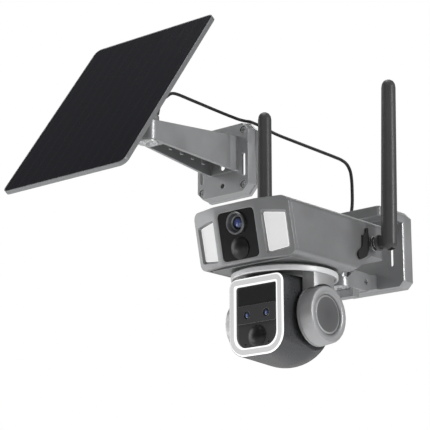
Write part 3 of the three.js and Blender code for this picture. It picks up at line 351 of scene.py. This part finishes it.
def ring_look():
    """The ring light: a pale band between two bright lines that follow its outer and inner outline; the
    band's glow is painted light, and the two lines are painted highlights along its edges.
    """
    n = Nodes("ring_diffuser")
    x = n.math("ABSOLUTE", n.dot(n.place, ALONG_X))
    z = n.math("SUBTRACT", n.dot(n.place, ALONG_Z), RING_MIDDLE_Z)
    corner = n.span(z, -0.001, 0.001, RING_LOW_CORNER, RING_TOP_CORNER)
    past_x = n.math("ADD", n.math("SUBTRACT", x, RING_HALF_WIDTH), corner)
    past_z = n.math("ADD", n.math("SUBTRACT", n.math("ABSOLUTE", z), RING_HALF_HEIGHT), corner)
    out_x, out_z = n.math("MAXIMUM", past_x, 0), n.math("MAXIMUM", past_z, 0)
    out = n.math("SQRT", n.math("ADD", n.math("MULTIPLY", out_x, out_x), n.math("MULTIPLY", out_z, out_z)))
    inside = n.math("MINIMUM", n.math("MAXIMUM", past_x, past_z), 0)
    depth = n.math("SUBTRACT", corner, n.math("ADD", out, inside))
    # Bright lines along the outer and inner outline: painted highlights.
    outer = n.span(depth, 0.0019, 0.0013, 0, 1)
    inner = n.span(depth, 0.0071, 0.0076, 0, 1)
    line = n.math("MAXIMUM", outer, inner)
    speck = n.noise(420, 3, 0.7)
    n.put("Base Color", n.mix(speck, (0.36, 0.36, 0.362), (0.4, 0.4, 0.4)))
    n.put("Roughness", n.span(speck, 0.2, 0.8, 0.34, 0.46))
    n.put("Emission Color", (1, 1, 1))
    # Emission paints in the light on the band, strongest on the painted highlight lines.
    n.put("Emission Strength", n.span(line, 0, 1, 0.42, 1.0))
    n.put("Normal", n.bump(speck, 0.00002, 0.6, n.rounded(0.0006)))
    return n.material


def head_panel_look():
    """Glossy black panel that is a little greyer towards its foot: a painted reflection."""
    n = Nodes("head_front_panel_black")
    height = n.span(n.dot(n.place, ALONG_Z), -0.072, -0.138, 0, 1)
    speck = n.noise(500, 2, 0.6)
    # Greyer towards the foot: a painted reflection on the glossy black.
    shade = n.ramp(height, [
        (0.0, (0.018, 0.018, 0.019)), (0.45, (0.026, 0.026, 0.027)),
        (0.7, (0.07, 0.07, 0.072)), (1.0, (0.075, 0.075, 0.077)),
    ])
    n.put("Base Color", n.mix(n.math("MULTIPLY", speck, 0.1), shade, (0.09, 0.09, 0.09)))
    n.put("Roughness", n.span(n.noise(40, 3), 0.25, 0.75, 0.12, 0.18))
    n.put("Normal", n.bump(speck, 0.000004, 1.0, n.rounded(0.0005)))
    return n.material


RIM_RADIUS = 0.0575


def yoke_look():
    """Silver yoke with a white band around its turntable, a painted highlight standing in for the shine on
    its rim; its lighter edges are partly scuffing, partly a painted highlight.
    """
    n = Nodes("silver_yoke")
    blotch = n.noise(34, 4, 0.55)
    away = n.from_axis(JOINT_AT["head_pan"], ALONG_Z)
    # The near-white band on the turntable's rim is a painted highlight.
    rim = n.span(away, RIM_RADIUS - 0.0003, RIM_RADIUS + 0.0003, 0, 1)
    normal = n.rounded(0.0009)
    paint = n.mix(blotch, (0.48, 0.483, 0.488), (0.52, 0.523, 0.528))
    # Lighter edges: partly scuffing, partly a painted highlight.
    worn_and_highlit_edges = n.mix(n.math("MULTIPLY", n.edges(normal), 0.5), paint, (0.68, 0.683, 0.69))
    n.put("Base Color", n.mix(rim, worn_and_highlit_edges, (0.96, 0.963, 0.97)))
    gloss = n.span(blotch, 0.25, 0.75, 0.27, 0.33)
    n.put("Roughness", n.math("ADD", gloss, n.math("MULTIPLY", rim, 0.1)))
    n.put("Metallic", n.span(rim, 0, 1, 0.4, 0.1))
    n.put("Normal", n.bump(n.noise(1300, 2, 0.6), 0.000015, 1.0, normal))
    return n.material


COVER_RADIUS = 0.034


def cover_look(name):
    """The yoke's round side cover: a darker dished middle inside lighter rims; the thin bright ring and the
    thin dark ring beside it are a painted highlight and painted shade.
    """
    n = Nodes(name)
    away = n.from_axis(JOINT_AT["head_tilt"], ALONG_X)
    blotch = n.noise(34, 4, 0.55)
    # The thin bright ring at 0.585 is a painted highlight and the thin dark ring at 0.635 is painted shade.
    rings = n.ramp(n.math("DIVIDE", away, COVER_RADIUS), [
        (0.0, (0.15, 0.152, 0.156)), (0.55, (0.2, 0.202, 0.206)), (0.585, (0.8, 0.805, 0.81)),
        (0.635, (0.1, 0.101, 0.103)), (0.67, (0.46, 0.463, 0.47)), (0.82, (0.6, 0.603, 0.61)),
    ])
    n.put("Base Color", n.mix(n.math("MULTIPLY", blotch, 0.12), rings, (0.3, 0.303, 0.308)))
    n.put("Roughness", n.span(blotch, 0.25, 0.75, 0.33, 0.4))
    n.put("Metallic", 0.5)
    n.put("Normal", n.bump(n.noise(1300, 2, 0.6), 0.000015, 1.0, n.rounded(0.0008)))
    return n.material


# ------------------------------------------------------------------ which node wears which look
FRONT_LEAN = -0.2174
FACE_UP = Vector((0, FRONT_LEAN, 1)).normalized()
FACE_OUT = ALONG_X.cross(FACE_UP)
FACE_FOOT = Vector((0, -0.2538, -0.0499))
LENS_AT = FACE_FOOT + 0.0422 * FACE_UP
LENS_RADIUS = 0.0065
HEAD_FRONT = -0.2322
HEAD_LENS_X = 0.0132
HEAD_LENS_Z = -0.1024
HEAD_LENS_RADIUS = 0.0044
# Colour stops by distance from each lens's axis: painted reflections, with a pale blue painted glint in the
# middle.
MAIN_LENS_PAINTED_GLINT = [
    (0.0, (0.5, 0.55, 0.8)), (0.2, (0.08, 0.12, 0.36)), (0.36, (0.03, 0.06, 0.24)),
    (0.5, (0.12, 0.16, 0.38)), (0.64, (0.03, 0.05, 0.18)), (0.82, (0.03, 0.035, 0.06)),
    (1.0, (0.006, 0.006, 0.008)),
]
HEAD_LENS_PAINTED_GLINT = [
    (0.0, (0.3, 0.42, 0.75)), (0.2, (0.12, 0.2, 0.5)), (0.38, (0.03, 0.05, 0.18)),
    (0.5, (0.012, 0.014, 0.03)), (0.78, (0.008, 0.008, 0.01)), (1.0, (0.03, 0.03, 0.032)),
]

LOOKS = {
    "solar_cell_glass": cell_glass(),
    "lens_glass": lens_look("main_lens_glass", LENS_AT, FACE_OUT, LENS_RADIUS, MAIN_LENS_PAINTED_GLINT),
    "ring_light": ring_look(),
    # The two diffusers glow by different amounts, the right one more: painted light that differs by side.
    "led_diffuser_left": lit_white("floodlight_diffuser", 0.33),
    "led_diffuser_right": lit_white("floodlight_diffuser_b", 0.4),
    "head_front_panel": head_panel_look(),
    "pan_yoke": yoke_look(),
    "yoke_cover_left": cover_look("yoke_cover_left_paint"),
    "yoke_cover_right": cover_look("yoke_cover_right_paint"),
}
for label, x in (("left", -HEAD_LENS_X), ("right", HEAD_LENS_X)):
    LOOKS[f"head_lens_{label}"] = lens_look(
        f"head_lens_glass_{label}", (x, HEAD_FRONT, HEAD_LENS_Z), (0, 1, 0), HEAD_LENS_RADIUS, HEAD_LENS_PAINTED_GLINT,
    )
for number in range(1, 5):
    LOOKS[f"solar_wall_screw_{number}"] = SILVER_PAINT
for group, look in (
    ("solar_wall_bracket camera_wall_bracket solar_swivel_knuckle panel_hinge_bracket camera_bracket_arm "
     "housing_mount_foot", SILVER_PAINT),
    ("solar_swivel_cap camera_swivel_cap", SILVER_CAP_PAINTED_HIGHLIGHT),
    ("housing_shell housing_front_bezel housing_base_plate", SILVER_PLASTIC),
    ("head_body", GRAPHITE),
    ("antenna_left antenna_right antenna_knuckle_left antenna_knuckle_right panel_tilt_knob junction_box "
     "knuckle_cable_clip wall_cable_saddle cable_gland solar_back_sheet", MATT_BLACK),
    ("lens_plate", GLOSS_BLACK),
    ("pir_dome head_pir_dome", SATIN_BLACK),
    ("head_lens_window", SMOKED),
    ("rubber_port_cover cable_grommet", RUBBER),
    ("panel_cable_lead_a panel_cable_lead_b panel_cable_wall_run", CABLE),
    ("main_board head_board", BOARD),
    ("battery_pack", CELLS),
    ("panel_tilt_bolt bracket_tilt_screw solar_swivel_bolt camera_swivel_bolt pan_shaft tilt_axle_left "
     "tilt_axle_right antenna_socket_left antenna_socket_right", STEEL),
    ("solar_panel_frame", ALUMINIUM),
    ("lens_barrel", LENS_RING),
):
    for node in group.split():
        LOOKS[node] = look


# ------------------------------------------------------------------ panel cable
CABLE_RADIUS = 0.002
SAMPLES_PER_SPAN = 24


def smooth_route(points, steps):
    """Centripetal curve through the points, as evenly spaced samples, and its length."""
    p = [Vector(q) for q in points]
    p = [2 * p[0] - p[1]] + p + [2 * p[-1] - p[-2]]
    dense = []
    for i in range(1, len(p) - 2):
        a, b, c, d = p[i - 1:i + 3]
        t0 = 0.0
        t1 = t0 + (b - a).length ** 0.5
        t2 = t1 + (c - b).length ** 0.5
        t3 = t2 + (d - c).length ** 0.5
        for k in range(SAMPLES_PER_SPAN):
            t = t1 + (t2 - t1) * k / SAMPLES_PER_SPAN
            ab = a.lerp(b, (t - t0) / (t1 - t0))
            bc = b.lerp(c, (t - t1) / (t2 - t1))
            cd = c.lerp(d, (t - t2) / (t3 - t2))
            abc = ab.lerp(bc, (t - t0) / (t2 - t0))
            bcd = bc.lerp(cd, (t - t1) / (t3 - t1))
            dense.append(abc.lerp(bcd, (t - t1) / (t2 - t1)))
    dense.append(p[-2])
    lengths = [0.0]
    for u, v in zip(dense, dense[1:]):
        lengths.append(lengths[-1] + (v - u).length)
    route = []
    for k in range(steps + 1):
        want = lengths[-1] * k / steps
        i = min(np.searchsorted(lengths, want, side="right"), len(lengths) - 1)
        share = (want - lengths[i - 1]) / (lengths[i] - lengths[i - 1])
        route.append(dense[i - 1].lerp(dense[i], share))
    return route, lengths[-1]


def tube(name, route, radius, sides=16):
    """A closed round tube along the route."""
    mesh = bpy.data.meshes.new(name)
    bm = bmesh.new()
    across = ALONG_Z
    rings = []
    for i, at in enumerate(route):
        ahead = (route[min(i + 1, len(route) - 1)] - route[max(i - 1, 0)]).normalized()
        across = (across - ahead * across.dot(ahead)).normalized()
        other = ahead.cross(across)
        rings.append([
            bm.verts.new(at + radius * (math.cos(a) * across + math.sin(a) * other))
            for a in (2 * math.pi * k / sides for k in range(sides))
        ])
    for r, s in zip(rings, rings[1:]):
        for k in range(sides):
            bm.faces.new((r[k], r[(k + 1) % sides], s[(k + 1) % sides], s[k]))
    bm.faces.new(list(reversed(rings[0])))
    bm.faces.new(rings[-1])
    for face in bm.faces:
        face.smooth = len(face.verts) == 4
    bm.to_mesh(mesh)
    bm.free()
    piece = bpy.data.objects.new(name, mesh)
    bpy.context.collection.objects.link(piece)
    mesh.materials.append(CABLE)
    return piece


GLAND_TIP = PANEL_CENTRE + Vector((0.004, 0, 0)) + 0.053 * SLOPE - 0.0284 * OUTWARD
CLIP = Vector((-0.213, -0.155, 0.206))
LEAD_B = [
    GLAND_TIP, GLAND_TIP - 0.0055 * OUTWARD, (-0.2194, -0.1652, 0.207), (-0.2152, -0.162, 0.2062),
    (-0.2133, -0.1598, 0.206), CLIP - Vector((0, 0.0032, 0)),
]
LEAD_A = [
    CLIP + Vector((0, 0.0029, 0)), (-0.2128, -0.147, 0.2076), (-0.2126, -0.141, 0.2122),
    (-0.2123, -0.135, 0.2166), (-0.212, -0.128, 0.2184), (-0.2108, -0.095, 0.217),
    (-0.2092, -0.06, 0.2146), (-0.2071, -0.024, 0.2123), (-0.2054, -0.01, 0.2114),
    (-0.2014, -0.0038, 0.2103), (-0.1952, -0.0024, 0.2085), (-0.188, -0.0024, 0.2047),
    (-0.179, -0.0024, 0.1997), (-0.1714, -0.0024, 0.1954),
]
WALL_RUN = [
    (-0.1709, -0.0024, 0.19505), (-0.1557, -0.0024, 0.1848), (-0.12, -0.0024, 0.1656),
    (-0.085, -0.0024, 0.1473), (-0.062, -0.0024, 0.1352), (-0.051, -0.0024, 0.129),
    (-0.0436, -0.0024, 0.1226), (-0.0386, -0.0024, 0.1135), (-0.0365, -0.0024, 0.102),
    (-0.036, -0.0024, 0.085), (-0.036, -0.003, 0.07), (-0.036, -0.005, 0.06), (-0.036, -0.007, 0.053),
    (-0.036, -0.0074, 0.049), (-0.036, -0.0074, 0.041),
]
cords = {}
for name, points, steps in (
    ("panel_cable_lead_b", LEAD_B, 24),
    ("panel_cable_lead_a", LEAD_A, 90),
    ("panel_cable_wall_run", WALL_RUN, 110),
):
    route, length = smooth_route(points, steps)
    piece = tube(name + "_round", route, CABLE_RADIUS)
    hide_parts(name)
    cords[name] = (piece, route, length)
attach(cords["panel_cable_wall_run"][0], "wall")
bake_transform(cords["panel_cable_lead_a"][0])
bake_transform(cords["panel_cable_lead_b"][0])
for name, lay, joined in (
    ("panel_cable_lead_a", "hanging", [cords["panel_cable_lead_b"][0]]), ("panel_cable_wall_run", "taut", []),
):
    piece, route, length = cords[name]


# ------------------------------------------------------------------ the CAD nodes' looks
CREASE = 34
ROUND_CREASE = 46
ROUND_NODES = ("head_body", "pir_dome", "head_pir_dome", "lens_glass")
WELD = 2e-6


def soften(node, limit):
    """Smooth shading over the facets of a curved face; sharp edges stay sharp. Only normals are set."""
    mesh = NODES[node].data
    count = len(mesh.vertices)
    places = np.zeros(count * 3)
    mesh.vertices.foreach_get("co", places)
    places = places.reshape(-1, 3)
    corner_vertex = np.zeros(len(mesh.loops), int)
    mesh.loops.foreach_get("vertex_index", corner_vertex)
    corners = places[corner_vertex].reshape(-1, 3, 3)
    cross = np.cross(corners[:, 1] - corners[:, 0], corners[:, 2] - corners[:, 0])
    size = np.linalg.norm(cross, axis=1)
    flat = cross / np.maximum(size, 1e-18)[:, None]
    welded = np.round(places[corner_vertex] / WELD).astype(np.int64)
    _, shared = np.unique(welded, axis=0, return_inverse=True)
    shared = shared.reshape(-1)
    face_of = np.repeat(np.arange(len(corners)), 3)
    order = np.argsort(shared, kind="stable")
    edges = np.flatnonzero(np.diff(shared[order])) + 1
    normals = np.zeros((len(face_of), 3))
    least = math.cos(math.radians(limit))
    for group in np.split(order, edges):
        faces = face_of[group]
        near = (flat[faces] @ flat[faces].T) > least
        total = near @ (flat[faces] * size[faces][:, None])
        normals[group] = total / np.maximum(np.linalg.norm(total, axis=1), 1e-18)[:, None]
    mesh.polygons.foreach_set("use_smooth", np.ones(len(mesh.polygons), bool))
    mesh.normals_split_custom_set(normals.tolist())


for node, obj in NODES.items():
    if obj.hide_render:
        continue
    soften(node, ROUND_CREASE if node in ROUND_NODES else CREASE)
    if not obj.material_slots:
        obj.data.materials.append(LOOKS[node])
    for material_slot in obj.material_slots:
        material_slot.material = LOOKS[node]


# ------------------------------------------------------------------ floor, light and background
FLOOR_Z = -0.8
FLOOR_HALF = 6
MIDDLE = Vector((-0.08, -0.12, 0.0))


def add_floor():
    """A plain pale floor under the object, with a faint glow that keeps it pale from above."""
    mesh = bpy.data.meshes.new("floor")
    corners = [(x * FLOOR_HALF, y * FLOOR_HALF, FLOOR_Z) for x, y in ((-1, -1), (1, -1), (1, 1), (-1, 1))]
    mesh.from_pydata(corners, [], [(0, 1, 2, 3)])
    floor = bpy.data.objects.new("floor", mesh)
    bpy.context.collection.objects.link(floor)
    n = Nodes("floor_paint")
    n.put("Base Color", n.mix(n.noise(3, 3), (0.8, 0.8, 0.8), (0.84, 0.84, 0.84)))
    n.put("Emission Color", (1, 1, 1))
    n.put("Emission Strength", 0.22)
    n.put("Roughness", 0.85)
    mesh.materials.append(n.material)


def softbox(name, at, width, height, watts):
    """A rectangular lamp that faces the object and isn't seen itself."""
    data = bpy.data.lights.new(name, "AREA")
    data.shape = "RECTANGLE"
    data.size = width
    data.size_y = height
    data.energy = watts
    lamp = bpy.data.objects.new(name, data)
    bpy.context.collection.objects.link(lamp)
    lamp.location = at
    lamp.rotation_euler = (MIDDLE - Vector(at)).to_track_quat("-Z", "Y").to_euler()
    lamp.visible_camera = False


def add_world():
    """White behind the object, and a dim grey sky, lighter towards its top, as the light."""
    world = bpy.data.worlds.new("world")
    bpy.context.scene.world = world
    world.use_nodes = True
    tree = world.node_tree
    tree.nodes.clear()
    output = tree.nodes.new("ShaderNodeOutputWorld")
    seen = tree.nodes.new("ShaderNodeBackground")
    seen.inputs["Color"].default_value = (1, 1, 1, 1)
    seen.inputs["Strength"].default_value = 1.0
    glow = tree.nodes.new("ShaderNodeBackground")
    glow.inputs["Strength"].default_value = 1.0
    way = tree.nodes.new("ShaderNodeTexCoord")
    split = tree.nodes.new("ShaderNodeSeparateXYZ")
    fade = tree.nodes.new("ShaderNodeMapRange")
    fade.inputs["From Min"].default_value = -0.5
    fade.inputs["From Max"].default_value = 0.8
    shades = tree.nodes.new("ShaderNodeValToRGB")
    shades.color_ramp.elements[0].color = (0.09, 0.09, 0.09, 1)
    shades.color_ramp.elements[1].color = (0.24, 0.24, 0.245, 1)
    path = tree.nodes.new("ShaderNodeLightPath")
    blend = tree.nodes.new("ShaderNodeMixShader")
    for source, target in (
        (way.outputs["Generated"], split.inputs[0]),
        (split.outputs["Z"], fade.inputs["Value"]),
        (fade.outputs["Result"], shades.inputs["Fac"]),
        (shades.outputs["Color"], glow.inputs["Color"]),
        (path.outputs["Is Camera Ray"], blend.inputs["Fac"]),
        (glow.outputs[0], blend.inputs[1]),
        (seen.outputs[0], blend.inputs[2]),
        (blend.outputs[0], output.inputs["Surface"]),
    ):
        tree.links.new(source, target)


add_floor()
for name, at, width, height, watts in (
    ("left_box", (-2.2, -0.8, 0.35), 1.4, 1.8, 14),
    ("top_box", (-0.2, -0.3, 2.0), 1.8, 1.2, 18),
    ("right_back_box", (1.8, 1.45, 0.7), 1.2, 1.6, 1.8),
    ("front_fill", (0.9, -2.4, 0.9), 0.7, 0.7, 0.8),
    ("low_fill", (0.2, -1.9, -0.6), 1.4, 0.3, 0.6),
    ("low_left", (-1.3, -1.3, -0.55), 0.7, 0.3, 2.2),
    ("side_strip", (2.1, 0.2, 0.5), 0.3, 0.9, 15),
    ("back_rim", (-0.75, 1.6, 1.5), 1.0, 0.35, 2.5),
    ("low_back_rim", (0.5, 1.4, -0.66), 0.9, 0.2, 0.6),
):
    softbox(name, at, width, height, watts)
add_world()
bpy.context.scene.view_settings.view_transform = "Standard"
